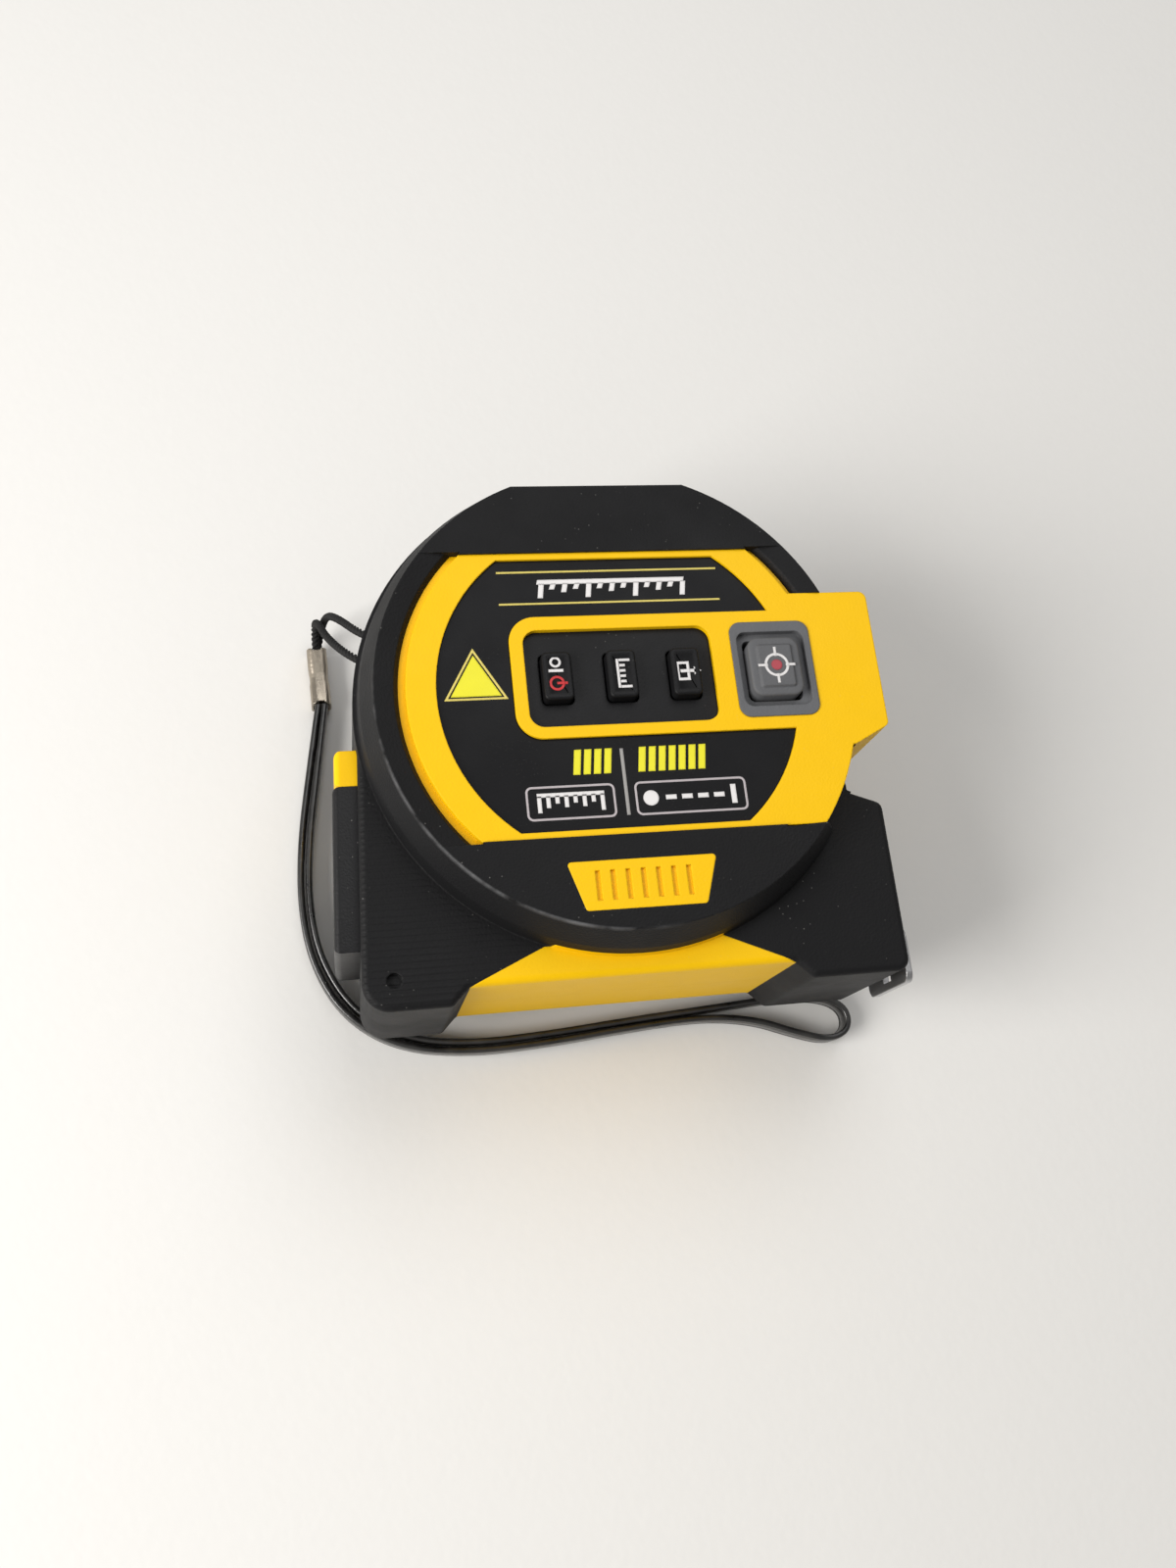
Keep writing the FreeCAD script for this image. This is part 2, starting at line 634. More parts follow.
def mid_plate():
    """Plate between the reel and the electronics; it holds the front end of the arbor."""
    inset = RUBBER + WALL + 0.4
    plate = disc(0, 0, CASE_R - 0.5 - inset, *MID_Z).common(
        box(RIBBON_X - 0.8, 20, -31, TOP_FLAT - 0.5 - inset, *MID_Z))
    plate = plate.cut(box(RIBBON_X - EPS, RIBBON_X + 0.7, RIBBON_Y[0] - 0.4, RIBBON_Y[1] + 0.4, 0, Z_PANEL))
    plate = plate.cut(disc(*REEL, ARBOR_R - 1.0, MID_Z[0] - EPS, MID_Z[1] + EPS))
    return plate.cut(screw_holes(MID_Z[0] - EPS, MID_Z[1] + EPS, BOSS_R + 0.3))


def battery():
    """Round lithium cell above the reel."""
    x, y, z = CELL
    cell = bar((x, y, z), (1, 0, 0), CELL_R, CELL_L)
    return union(cell, bar((x + CELL_L, y, z), (1, 0, 0), 1.6, 0.8))


def battery_cradle():
    """Open plastic trough under the cell."""
    x, y, z = CELL
    trough = box(x + 2, x + CELL_L - 3, y - CELL_R - 1.5, y + CELL_R + 1.0, Z_BACK + RUBBER + WALL, z - 2.0)
    return trough.cut(bar((x - 1, y, z), (1, 0, 0), CELL_R + RUN, CELL_L + 2))


def usb_socket():
    """Metal charging socket behind the cover on the flat top."""
    middle = USB[0]
    y_low, y_high = TOP_FLAT - 8.5, TOP_FLAT - USB_DEPTH - 1.2
    shell = box(middle - 4.5, middle + 4.5, y_low, y_high, Z_SPLIT - 1.6, Z_SPLIT + 1.6)
    shell = soften(shell, 1.4, lambda e: abs(e.BoundBox.YLength - (y_high - y_low)) < 1e-3)
    room = box(middle - 4.1, middle + 4.1, y_low + 0.5, TOP_FLAT, Z_SPLIT - 1.2, Z_SPLIT + 1.2)
    tongue = box(middle - 3.2, middle + 3.2, y_low + 0.2, y_high - 0.8, Z_SPLIT - 0.35, Z_SPLIT + 0.35)
    return union(shell.cut(room), tongue)


def usb_board():
    middle = USB[0]
    return box(middle - 8, middle + 8, TOP_FLAT - USB_REACH, TOP_FLAT - 4.5, Z_SPLIT - 2.8, Z_SPLIT - 1.6)


def usb_cover():
    """Rubber flap over the charging port. It swings on the pin at its end nearest the nose."""
    middle, length, width = USB
    x0, x1 = middle - length / 2, middle + length / 2
    plate = box(x0, x1 - 1.4, TOP_FLAT - USB_DEPTH + 0.1, TOP_FLAT, Z_SPLIT - width / 2, Z_SPLIT + width / 2)
    plate = soften(plate, 0.4, lambda e: all(abs(v.Y - TOP_FLAT) < 1e-4 for v in e.Vertexes))
    barrel = bar((x1 - 0.75, TOP_FLAT - 0.55, Z_SPLIT - width / 2), (0, 0, 1), 0.65, width)
    web = box(x1 - 1.5, x1 - 0.75, TOP_FLAT - 1.0, TOP_FLAT - 0.1, Z_SPLIT - width / 2, Z_SPLIT + width / 2)
    plug = box(middle - 3.6, middle + 3.0, TOP_FLAT - USB_DEPTH - 1.0, TOP_FLAT - 0.5,
               Z_SPLIT - 1.0, Z_SPLIT + 1.0)
    return union(plate, barrel, web, plug).cut(usb_pin(0.05, 0.5))


def usb_pin(grow=0.0, longer=0.0):
    middle, length, width = USB
    return bar((middle + length / 2 - 0.75, TOP_FLAT - 0.55, Z_SPLIT - width / 2 - 0.2 - longer), (0, 0, 1),
               0.3 + grow, width + 0.4 + 2 * longer)


# Optics in the nose
def optics_block():
    """Carrier of the laser and of the receiving lens."""
    x0, x1 = NOSE_X - 18.0, NOSE_X - WALL - 1.6
    body = box(x0, x1, -5.0, 12.0, Z_SPLIT - 10.0, Z_SPLIT + 10.0)
    body = body.cut(bar((x0 + 3, LENS_Y, LENS_Z), (1, 0, 0), 6.0, 30))
    body = body.cut(bar((x0 - 1, LENS_Y, LENS_Z), (1, 0, 0), 2.0, 10))
    return body.cut(bar((x0 - 1, LASER_Y, LASER_Z), (1, 0, 0), 3.05, 40))


LENS_Y, LENS_Z = 3.5, Z_SPLIT - 3.0
LASER_Y, LASER_Z = 3.5, Z_SPLIT + 6.4


def receiving_lens():
    x = NOSE_X - WALL - 4.5
    lens = bar((x, LENS_Y, LENS_Z), (1, 0, 0), 5.95, 2.0)
    dome_ball = Part.makeSphere(12.0, V(x + 3.2 - 12.0, LENS_Y, LENS_Z))
    return union(lens, bar((x, LENS_Y, LENS_Z), (1, 0, 0), 5.0, 4).common(dome_ball))


def light_sensor():
    x0 = NOSE_X - 18.0
    return union(bar((x0 - 1.5, LENS_Y, LENS_Z), (1, 0, 0), 1.95, 3.0),
                 box(x0 - 2.5, x0 - 1.5, LENS_Y - 4, LENS_Y + 4, LENS_Z - 4, LENS_Z + 4))


def laser_diode():
    x0 = NOSE_X - 16.0
    barrel = bar((x0, LASER_Y, LASER_Z), (1, 0, 0), 3.0, 11.0)
    barrel = barrel.cut(bar((x0 + 10.0, LASER_Y, LASER_Z), (1, 0, 0), 1.4, 4))
    return union(barrel, bar((x0 - 2.0, LASER_Y, LASER_Z), (1, 0, 0), 2.4, 2.5))


def optics_window():
    """Clear pane in the tip of the nose."""
    gap = 0.1
    pane = box(NOSE_X - 1.4, NOSE_X - 0.4, OPTICS_Y[0] + gap, OPTICS_Y[1] - gap,
               Z_SPLIT - OPTICS_HALF + gap, Z_SPLIT + OPTICS_HALF - gap)
    return pane


def optics_frame():
    """Black frame that holds the pane, with a round port for each beam."""
    gap = 0.1
    plate = box(NOSE_X - 3.4, NOSE_X - 1.4, OPTICS_Y[0] + gap, OPTICS_Y[1] - gap,
                Z_SPLIT - OPTICS_HALF + gap, Z_SPLIT + OPTICS_HALF - gap)
    plate = plate.cut(bar((NOSE_X - 5, LENS_Y, LENS_Z), (1, 0, 0), 5.4, 6))
    return plate.cut(bar((NOSE_X - 5, LASER_Y, LASER_Z), (1, 0, 0), 2.2, 6))


# Display in the rear pod
def display_pod():
    """Black housing of the display, standing out of the rear wall."""
    body = rear_strip(POD[0] + 0.1, POD[1] - 0.05, -POD_IN + 0.1, POD_OUT, POD_HALF - 0.1)
    body = soften(body, 1.0, lambda e: e.BoundBox.XMax < rear_line(POD[1], POD_OUT) + 0.05)
    y0, y1 = POD[0] + 2.0, POD[1] - 2.0
    body = body.cut(rear_strip(y0, y1, POD_OUT - 0.8, POD_OUT + EPS, POD_HALF - 2.0))
    return body.cut(rear_strip(y0 + 1.0, y1 - 1.0, -POD_IN - EPS, POD_OUT, POD_HALF - 3.0))


def display_window():
    y0, y1 = POD[0] + 2.1, POD[1] - 2.1
    return rear_strip(y0, y1, POD_OUT - 0.8, POD_OUT - 0.1, POD_HALF - 2.1)


def display_glass():
    y0, y1 = POD[0] + 3.2, POD[1] - 3.2
    return rear_strip(y0, y1, POD_OUT - 2.6, POD_OUT - 0.9, POD_HALF - 3.2)


def display_backlight():
    y0, y1 = POD[0] + 3.4, POD[1] - 3.4
    return rear_strip(y0, y1, POD_OUT - 5.0, POD_OUT - 2.7, POD_HALF - 3.4)


RIBBON_Y = (-16.6, -12.9)
RIBBON_X = -30.0                            # where the ribbon turns up past the reel


def display_ribbon():
    """Flat cable from the display to the main board."""
    y0, y1 = RIBBON_Y
    sheet = 0.3
    inner = POD_OUT - 5.1
    level_z = Z_SPLIT + 5.6
    foot = rear_strip(y0, y1, inner - sheet, inner, 5.6)
    run_in = box(rear_line(y1, inner) + 0.05, RIBBON_X + sheet, y0, y1, level_z - sheet, level_z)
    riser = box(RIBBON_X, RIBBON_X + sheet, y0, y1, level_z - sheet, PCB_Z[0])
    lap = box(RIBBON_X, RIBBON_X + 4.0, y0, y1, PCB_Z[0] - sheet, PCB_Z[0])
    return union(foot, run_in, riser, lap)


def rear_cap():
    """Yellow cap that closes the top of the display pod."""
    body = rear_strip(POD[1], CAP_TOP - 0.1, -POD_IN + 0.1, POD_OUT - 0.3, POD_HALF - 0.1)
    return soften(body, 1.0, lambda e: e.BoundBox.XMax < rear_line(CAP_TOP, POD_OUT - 0.3) + 0.05)


# ---------------------------------------------------------------- tape
BAY = (Z_SPLIT - BLADE_W / 2, Z_SPLIT + BLADE_W / 2)


def tape_coil():
    """The wound blade."""
    return disc(*REEL, COIL_R, *BAY).cut(disc(*REEL, DRUM_R + 0.05, BAY[0] - EPS, BAY[1] + EPS))


def drum():
    """Spool that the blade winds on, with the spring inside it."""
    z0, z1 = BAY[0] - 0.4, BAY[1] + 0.4
    hub = ARBOR_R + RUN
    body = disc(*REEL, DRUM_R, z0, z1).cut(disc(*REEL, DRUM_R - DRUM_T, z0 + 1.4, z1 + EPS))
    body = union(body, disc(*REEL, hub + 1.2, z0, z0 + 4.0))
    return body.cut(disc(*REEL, hub, z0 - EPS, z1 + EPS))


def drum_lid():
    z0, z1 = BAY[1] - 1.0, BAY[1] + 0.4
    lid = disc(*REEL, DRUM_R - DRUM_T - 0.05, z0, z1)
    return lid.cut(disc(*REEL, ARBOR_R + RUN, z0 - EPS, z1 + EPS))


def spiral(r0, turns, pitch, thick, z0, z1):
    """Spiral ribbon of half circles about the reel's axis."""
    inner, outer = [], []
    cx, cy = REEL
    r, x = r0, cx
    side = 1
    for _ in range(2 * turns):
        for edges, radius in ((inner, r), (outer, r + thick)):
            a, b, c = V(x + side * radius, cy, z0), V(x, cy + side * radius, z0), V(x - side * radius, cy, z0)
            edges.append(Part.Arc(a, b, c).toShape())
        r += pitch / 2
        x += side * pitch / 2
        side = -side
    start = Part.LineSegment(inner[0].Vertexes[0].Point, outer[0].Vertexes[0].Point).toShape()
    end = Part.LineSegment(inner[-1].Vertexes[-1].Point, outer[-1].Vertexes[-1].Point).toShape()
    wire = Part.Wire(Part.__sortEdges__([start, *outer, end, *inner]))
    return Part.Face(wire).extrude(V(0, 0, z1 - z0))


def mainspring():
    """Flat spring that winds the blade back."""
    first = ARBOR_R + RUN + 1.6
    room = DRUM_R - DRUM_T - first - SPRING_PITCH
    return spiral(first, int(room / SPRING_PITCH), SPRING_PITCH, SPRING_T, BAY[0] + 1.6, BAY[1] - 1.4)


def arbor():
    """Slotted post that the reel turns on. It is fixed in the back half and in the middle plate."""
    post = disc(*REEL, ARBOR_R, ARBOR_FOOT, MID_Z[0])
    post = union(post, disc(*REEL, ARBOR_R + 1.4, ARBOR_FOOT - 1.0, ARBOR_FOOT + 1.0),
                 disc(*REEL, ARBOR_R - 1.05, MID_Z[0], MID_Z[1]))
    slot = box(REEL[0] - 0.4, REEL[0] + 0.4, REEL[1] - 9, REEL[1] + 9, BAY[0] + 5.0, BAY[1] - 1.5)
    return post.cut(slot.common(disc(REEL[0], REEL[1] + 3.0, 4.0, 0, 99)))


ARBOR_FOOT = Z_BACK + RUBBER + WALL


def reel_washers():
    """Two thin washers that keep the drum off the case and the middle plate."""
    low = disc(*REEL, 9.0, BAY[0] - 0.9, BAY[0] - 0.5).cut(disc(*REEL, ARBOR_R + RUN, 0, 99))
    return low


def blade_section(z_half, thick, y_low, dip, x):
    """Closed outline of the blade's curved section at x."""
    def arc(offset):
        return Part.Arc(V(x, y_low + dip + offset, Z_SPLIT - z_half), V(x, y_low + offset, Z_SPLIT),
                        V(x, y_low + dip + offset, Z_SPLIT + z_half)).toShape()
    low, high = arc(0), arc(thick)
    ends = [Part.LineSegment(low.Vertexes[i].Point, high.Vertexes[i].Point).toShape() for i in (0, 1)]
    return Part.Face(Part.Wire(Part.__sortEdges__([low, ends[1], high, ends[0]])))


HOOK_FACE = NOSE_X + 1.5
HOOK_PLAY = 0.8
TONGUE = (BLADE_Y - 1.0, BLADE_Y - 0.3)     # under and upper side of the hook's tongue
TONGUE_HALF = 4.2
RIVET_X = HOOK_FACE - 3.2
RIVET_Z = 2.4
RIVET_R = 0.7


def rivet_holes(grow, longer):
    """Holes for the two rivets, lengthened towards the coil."""
    holes = []
    for side in (-RIVET_Z, RIVET_Z):
        z = Z_SPLIT + side
        r = RIVET_R + grow
        holes.append(bar((RIVET_X, BLADE_Y - 4, z), (0, 1, 0), r, 8))
        if longer:
            holes.append(bar((RIVET_X - longer, BLADE_Y - 4, z), (0, 1, 0), r, 8))
            holes.append(box(RIVET_X - longer, RIVET_X, BLADE_Y - 4, BLADE_Y + 4, z - r, z + r))
    return holes[0].fuse(holes[1:])


def blade():
    """The straight run of blade from the coil to the hook."""
    start = REEL[0]
    steel = blade_section(BLADE_W / 2, BLADE_T, BLADE_Y, BLADE_DIP, start).extrude(
        V(HOOK_FACE - 0.5 - start, 0, 0))
    return steel.cut(rivet_holes(RUN, 0))


def end_hook():
    """Bent steel hook riveted under the end of the blade. Its slots let it slide by its own thickness."""
    tongue = box(HOOK_FACE - 6.0, HOOK_FACE, TONGUE[0], TONGUE[1],
                 Z_SPLIT - TONGUE_HALF, Z_SPLIT + TONGUE_HALF)
    lip = box(HOOK_FACE, HOOK_FACE + HOOK_T, BASE_Y - 0.9, BLADE_Y + BLADE_DIP + 1.2,
              Z_SPLIT - HOOK_W / 2, Z_SPLIT + HOOK_W / 2)
    lip = soften(lip, 1.5, lambda e: abs(e.Length - HOOK_T) < 1e-4)
    slot = box(HOOK_FACE - EPS, HOOK_FACE + 3, BASE_Y + 0.3, TONGUE[0] - 0.8, Z_SPLIT - 1.6, Z_SPLIT + 1.6)
    return union(tongue, lip).cut(slot).cut(rivet_holes(RUN, HOOK_PLAY))


def hook_rivets():
    """Two rivets through the blade and the tongue of the hook."""
    head_r = RIVET_R + 0.6
    rise = BLADE_DIP * ((RIVET_Z + head_r) / (BLADE_W / 2)) ** 2
    low = TONGUE[0] - 0.1
    high = BLADE_Y + BLADE_T + rise + 0.05
    return Part.Compound([
        union(bar((RIVET_X, low, Z_SPLIT + side), (0, 1, 0), RIVET_R, high - low),
              bar((RIVET_X, low - 0.3, Z_SPLIT + side), (0, 1, 0), head_r, 0.3),
              bar((RIVET_X, high, Z_SPLIT + side), (0, 1, 0), head_r, 0.3))
        for side in (-RIVET_Z, RIVET_Z)])


def mouth_guide():
    """Rubber lip round the mouth, with a slot that follows the blade."""
    gap = 0.1
    x0, x1, y0, y1, z0, z1 = MOUTH
    body = box(x0 + gap, x1, y0 + gap, y1 - gap, z0 + gap, z1 - gap)
    body = soften(body, 0.5, lambda e: abs(e.BoundBox.XMin - x1) < 1e-4 and abs(e.BoundBox.XMax - x1) < 1e-4)
    slot = box(x0 - EPS, x1 + EPS, BLADE_Y - 0.35, BLADE_Y + BLADE_DIP + 0.8,
               Z_SPLIT - BLADE_W / 2 - 0.4, Z_SPLIT + BLADE_W / 2 + 0.4)
    tongue_room = box(x1 - 5.6, x1 + EPS, TONGUE[0] - 0.7, BLADE_Y, Z_SPLIT - TONGUE_HALF - 0.4,
                      Z_SPLIT + TONGUE_HALF + 0.4)
    stem = LOCK_W / 2 + 0.3
    shoe = box(LOCK_X[0] - 0.3, LOCK_X[1] + 0.3, BLADE_Y, y1 + EPS, Z_SPLIT - stem, Z_SPLIT + stem)
    return body.cut(slot).cut(tongue_room).cut(shoe)


# ---------------------------------------------------------------- thumb lock
SHOE_T = 1.6


def lock_button():
    """Thumb slide in the notch under the nose, with ribs for the thumb."""
    half = LOCK_W / 2
    top = NOTCH_TOP - 0.9
    head = box(LOCK_X[0] + 0.4, LOCK_HEAD_OUT, top - LOCK_HEAD, top, Z_SPLIT - half, Z_SPLIT + half)
    head = soften(head, 0.7, lambda e: abs(e.BoundBox.XMin - LOCK_HEAD_OUT) < 1e-4)
    shoe_top = BLADE_Y + BLADE_DIP + BLADE_T + SHOE_GAP + LOCK_TRAVEL + SHOE_T
    stem = box(LOCK_X[0], LOCK_X[1], shoe_top, top - 1.0, Z_SPLIT - half, Z_SPLIT + half)
    body = union(head, stem)
    for i in range(3):
        x = LOCK_X[1] + 0.9 + i * 0.9
        body = body.cut(box(x, x + 0.4, top - 0.35, top + EPS, Z_SPLIT - half - EPS, Z_SPLIT + half + EPS))
    return body


def brake_shoe():
    """Rubber shoe under the thumb slide. It presses on the blade's raised edges."""
    half = LOCK_W / 2
    low = BLADE_Y + BLADE_DIP + BLADE_T + SHOE_GAP + LOCK_TRAVEL
    return box(LOCK_X[0], LOCK_X[1], low, low + SHOE_T, Z_SPLIT - half, Z_SPLIT + half)


# ---------------------------------------------------------------- fasteners and clip
def case_screws():
    """Four countersunk-head screws that hold the halves together."""
    def screw(x, y):
        head = disc(x, y, 2.1, SCREW_SEAT - 1.6, SCREW_SEAT)
        head = head.cut(box(x - 1.5, x + 1.5, y - 0.25, y + 0.25, SCREW_SEAT - 2.6, SCREW_SEAT - 0.9))
        head = head.cut(box(x - 0.25, x + 0.25, y - 1.5, y + 1.5, SCREW_SEAT - 2.6, SCREW_SEAT - 0.9))
        return union(head, disc(x, y, SCREW_R - 0.15, SCREW_SEAT, Z_SPLIT + 6.5))
    return Part.Compound([screw(x, y) for x, y in SCREWS])


def belt_clip():
    """Bent spring-steel clip: screwed on near the top, parallel to the back, flared at its free end."""
    root_hi, root_lo = CLIP_ROOT
    flat_hi, flat_lo = CLIP_FLAT
    z = Z_BACK
    outer = [(root_hi, z), (root_hi, z - CLIP_T), (root_lo, z - CLIP_T), (flat_hi, 0), (flat_lo, 0),
             (CLIP_TIP + 2.0, 2.2), (CLIP_TIP, 1.4)]
    inner = [(CLIP_TIP, 1.4 + CLIP_T), (CLIP_TIP + 2.2, 2.2 + CLIP_T), (flat_lo + 0.2, CLIP_T),
             (flat_hi - 0.4, CLIP_T), (root_lo - 0.4, z)]
    body = slab(outer + inner, CLIP_X - CLIP_W / 2, CLIP_X + CLIP_W / 2)
    outline = prism(rect(CLIP_X - CLIP_W / 2, CLIP_X + CLIP_W / 2, CLIP_TIP, root_hi, 4.0), -1, Z_BACK + 1)
    body = body.common(outline)
    return body.cut(disc(CLIP_X, CLIP_SCREW_Y, 1.35, 0, Z_BACK + 1))


def clip_screw():
    head = Part.makeSphere(3.6, V(CLIP_X, CLIP_SCREW_Y, Z_BACK - CLIP_T + 2.2)).common(
        disc(CLIP_X, CLIP_SCREW_Y, 2.8, 0, Z_BACK - CLIP_T))
    slot = Z_BACK - CLIP_T - 0.7
    head = head.cut(box(CLIP_X - 1.6, CLIP_X + 1.6, CLIP_SCREW_Y - 0.25, CLIP_SCREW_Y + 0.25, 0, slot))
    head = head.cut(box(CLIP_X - 0.25, CLIP_X + 0.25, CLIP_SCREW_Y - 1.6, CLIP_SCREW_Y + 1.6, 0, slot))
    return union(head, disc(CLIP_X, CLIP_SCREW_Y, 1.15, Z_BACK - CLIP_T, Z_BACK + RUBBER + WALL - 0.3))


# ---------------------------------------------------------------- wrist strap
BAR_ANGLE = 155.0        # where the lanyard bar sits round the case
BAR_R = CASE_R - 2.4
BAR_D = 2.0
BAR_ROOM = 3.7           # from the bar's axis to the bottom of its pocket
POCKET_HALF = 4.0
POCKET_HEIGHT = 4.0      # half the height of the pocket
STRAP_Z = STRAP_W / 2 + CRIMP_T
AROUND = CASE_R / 39.0   # the routes are laid round a case of this radius
CRIMP_ENDS = ((-43.8 * AROUND, 25.9 * AROUND), (-43.4 * AROUND, 15.6 * AROUND))
STRAP_ROUTE = [(x * AROUND, y * AROUND) for x, y in (
    (-43.95, 15.46), (-46.1, 3.0), (-48.0, -9.0), (-48.5, -20.0), (-46.9, -30.0), (-42.1, -38.7),
    (-33.8, -44.2), (-22.5, -46.0), (-9.0, -45.5), (5.0, -44.2), (17.0, -43.5), (26.0, -44.7),
    (33.0, -47.5), (38.6, -49.2), (42.2, -47.8), (42.4, -44.2), (38.9, -41.9), (31.0, -41.3),
    (19.5, -42.1), (6.0, -42.9), (-9.0, -44.1), (-22.3, -44.6), (-32.9, -42.9), (-40.8, -37.8),
    (-45.5, -29.4), (-47.1, -20.0), (-46.6, -9.0), (-44.7, 3.2), (-42.85, 15.52),
)]
STRING_ROUTE = [(x * AROUND, y * AROUND, z) for x, y, z in (
    (-43.7, 26.15, 1.5), (-43.0, 29.7, 2.2), (-41.9, 30.3, 8.0), (-40.2, 26.4, 15.6), (-36.6, 20.0, 22.6),
    (-30.4, 16.5, 24.4), (-32.2, 12.7, 23.8), (-37.9, 15.5, 23.0), (-41.8, 22.0, 16.4), (-43.5, 28.6, 9.6),
    (-43.9, 30.0, 4.2), (-43.85, 26.18, 3.2),
)]


def bar_frame(out, across):
    """Point near the lanyard bar: out from the dome's axis, and across to the clockwise side."""
    angle = math.radians(BAR_ANGLE)
    x = out * math.cos(angle) - across * math.sin(angle)
    y = out * math.sin(angle) + across * math.cos(angle)
    return x, y


def bar_block(near, far, half, z_half):
    """Block round the lanyard bar between two distances from the dome's axis."""
    points = [(*bar_frame(near, -half), 0), (*bar_frame(far, -half), 0),
              (*bar_frame(far, half), 0), (*bar_frame(near, half), 0)]
    return prism(points, Z_SPLIT - z_half, Z_SPLIT + z_half)


def lanyard_pocket():
    return bar_block(BAR_R - BAR_ROOM, CASE_R + EPS, POCKET_HALF, POCKET_HEIGHT)


def pocket_wall():
    return bar_block(BAR_R - BAR_ROOM - 1.2, CASE_R - RUBBER - 0.8, POCKET_HALF + 1.2, POCKET_HEIGHT + 1.2)


def lanyard_bar(grow=0.0):
    half = POCKET_HEIGHT + 1.0
    return disc(*bar_frame(BAR_R, 0), BAR_D / 2 + grow, Z_SPLIT - half, Z_SPLIT + half)


def route(points):
    """Wire of straight runs with a tangent arc at every inner point. Returns it with its smallest radius."""
    knots = [V(*p) for p in points]
    edges = []
    start = knots[0]
    least = 1e9
    for before, here, after in zip(knots, knots[1:], knots[2:]):
        a, b = before - here, after - here
        run = 0.45 * min(a.Length, b.Length)
        half = a.getAngle(b) / 2
        r = run * math.tan(half)
        least = min(least, r)
        a.normalize()
        b.normalize()
        middle = a + b
        middle.normalize()
        p, q = here + a * run, here + b * run
        edges.append(Part.LineSegment(start, p).toShape())
        edges.append(Part.Arc(p, here + middle * (r / math.sin(half) - r), q).toShape())
        start = q
    edges.append(Part.LineSegment(start, knots[-1]).toShape())
    return Part.Wire(edges), least


def sweep(name, wire, least, section, area, diameter):
    """Sweeps a section along a cord's wire and compares its volume with area times length."""
    solid = wire.makePipeShell([section], True, True)
    ratio = solid.Volume / (area * wire.Length)
    print(f"{name}: {wire.Length:.1f} mm long, smallest radius {least:.1f} mm, "
          f"{least / diameter:.1f} diameters, volume ratio {ratio:.3f}")
    assert abs(ratio - 1) < 0.02
    return solid


def wrist_strap():
    """Flat band standing on its edge, folded in two, with both ends in the crimp."""
    wire, least = route([(x, y, STRAP_Z) for x, y in STRAP_ROUTE])
    start = V(*STRAP_ROUTE[0], STRAP_Z)
    along = V(*STRAP_ROUTE[1], STRAP_Z) - start
    along.normalize()
    side = V(-along.y, along.x, 0) * (STRAP_T / 2)
    up = V(0, 0, STRAP_W / 2)
    corners = [start + side + up, start - side + up, start - side - up, start + side - up]
    section = Part.makePolygon(corners + corners[:1])
    return sweep("wrist_strap", wire, least, section, STRAP_W * STRAP_T, (STRAP_W + STRAP_T) / 2)


def strap_string():
    """Thin string looped round the lanyard bar, with both ends in the crimp."""
    wire, least = route(STRING_ROUTE)
    start = V(*STRING_ROUTE[0])
    section = Part.Wire(Part.makeCircle(STRING_D / 2, start, V(*STRING_ROUTE[1]) - start))
    return sweep("strap_string", wire, least, section, math.pi * STRING_D ** 2 / 4, STRING_D)


def strap_crimp():
    """Folded metal tube that joins the string to the strap."""
    start, end = V(*CRIMP_ENDS[0], STRAP_Z), V(*CRIMP_ENDS[1], STRAP_Z)
    along = end - start
    length = along.Length
    half_t, half_w = STRAP_T + 0.15, STRAP_W / 2
    tube = box(0, length, -half_t - CRIMP_T, half_t + CRIMP_T, -half_w - CRIMP_T, half_w + CRIMP_T)
    tube = soften(tube, 0.9, lambda e: abs(e.Length - length) < 1e-3)
    dent = box(length * 0.25, length * 0.75, -0.7, 0.7, half_w + CRIMP_T - 0.25, half_w + 2)
    tube = tube.cut(dent)
    tube.Placement = FreeCAD.Placement(start, FreeCAD.Rotation(V(1, 0, 0), along))
    return tube


# ---------------------------------------------------------------- export
LOOSE = ("wrist_strap", "strap_string", "strap_crimp")


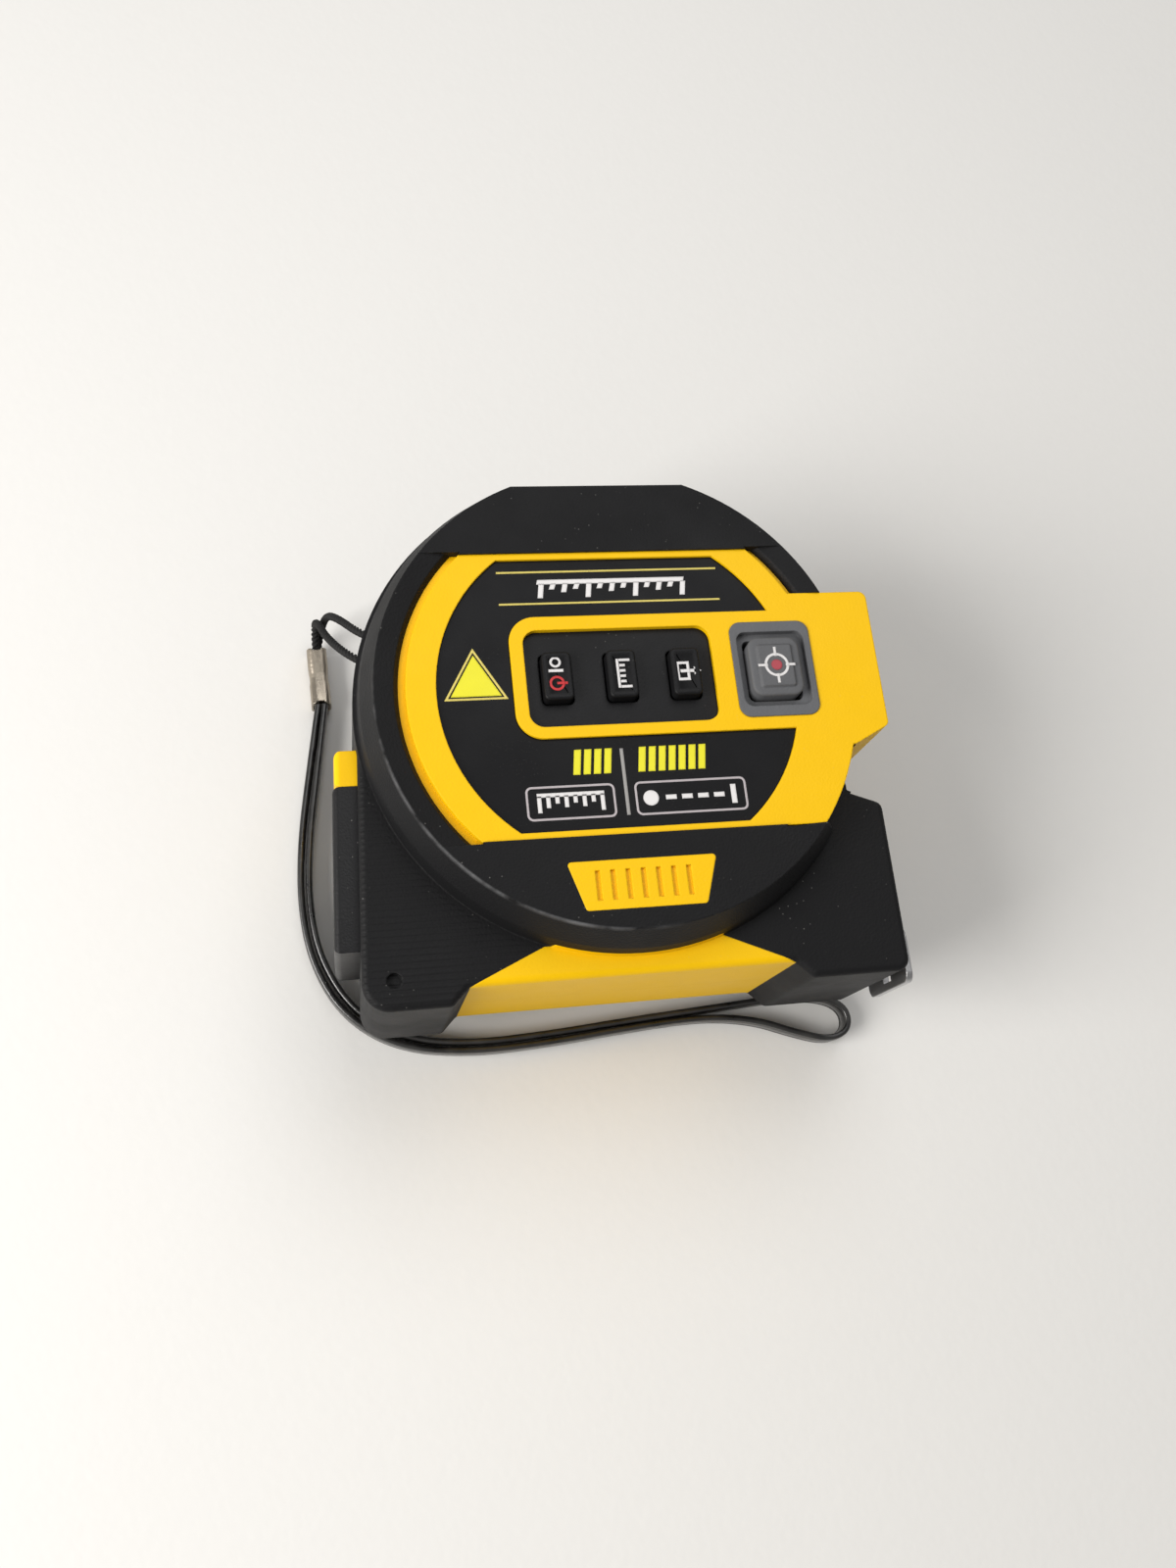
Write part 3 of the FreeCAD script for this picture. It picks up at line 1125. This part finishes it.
def main():
    os.makedirs("parts", exist_ok=True)
    made = {
        "front_shell": front_shell(),
        "front_rubber": front_rubber(),
        "back_shell": back_shell(),
        "back_rubber": back_rubber(),
        "front_label": label_shape(Z_PANEL - LABEL_SINK - LABEL_T, Z_PANEL - LABEL_SINK),
        "keypad_mat": keypad_mat(),
        "key_left": key(0),
        "key_middle": key(1),
        "key_right": key(2),
        "measure_bezel": measure_bezel(),
        "measure_button": measure_button(),
        "main_board": main_board(),
        "tact_switches": tact_switches(),
        "processor": processor(),
        "buzzer": buzzer(),
        "mid_plate": mid_plate(),
        "battery": battery(),
        "battery_cradle": battery_cradle(),
        "usb_socket": usb_socket(),
        "usb_board": usb_board(),
        "usb_cover": usb_cover(),
        "usb_pin": usb_pin(),
        "optics_block": optics_block(),
        "receiving_lens": receiving_lens(),
        "light_sensor": light_sensor(),
        "laser_diode": laser_diode(),
        "optics_window": optics_window(),
        "optics_frame": optics_frame(),
        "display_pod": display_pod(),
        "display_window": display_window(),
        "display_glass": display_glass(),
        "display_backlight": display_backlight(),
        "display_ribbon": display_ribbon(),
        "rear_cap": rear_cap(),
        "tape_coil": tape_coil(),
        "drum": drum(),
        "drum_lid": drum_lid(),
        "mainspring": mainspring(),
        "arbor": arbor(),
        "reel_washer": reel_washers(),
        "blade": blade(),
        "end_hook": end_hook(),
        "hook_rivets": hook_rivets(),
        "mouth_guide": mouth_guide(),
        "lock_button": lock_button(),
        "brake_shoe": brake_shoe(),
        "case_screws": case_screws(),
        "belt_clip": belt_clip(),
        "clip_screw": clip_screw(),
        "lanyard_bar": lanyard_bar(),
        "strap_string": strap_string(),
        "strap_crimp": strap_crimp(),
        "wrist_strap": wrist_strap(),
    }
    fixed = Part.Compound([shape for name, shape in made.items() if name not in LOOSE])
    solid = fixed.optimalBoundingBox(False, False)
    middle = V(-(solid.XMin + solid.XMax) / 2, -(solid.YMin + solid.YMax) / 2, -solid.ZMin)
    print(f"origin moved by {middle.x:.3f} {middle.y:.3f} {middle.z:.3f}; "
          f"size {solid.XLength:.2f} {solid.YLength:.2f} {solid.ZLength:.2f}")
    for name, shape in made.items():
        if not shape.isValid():
            print("not valid:", name)
        shape.translate(middle)
        shape.exportStep(f"parts/{name}.step")


main()
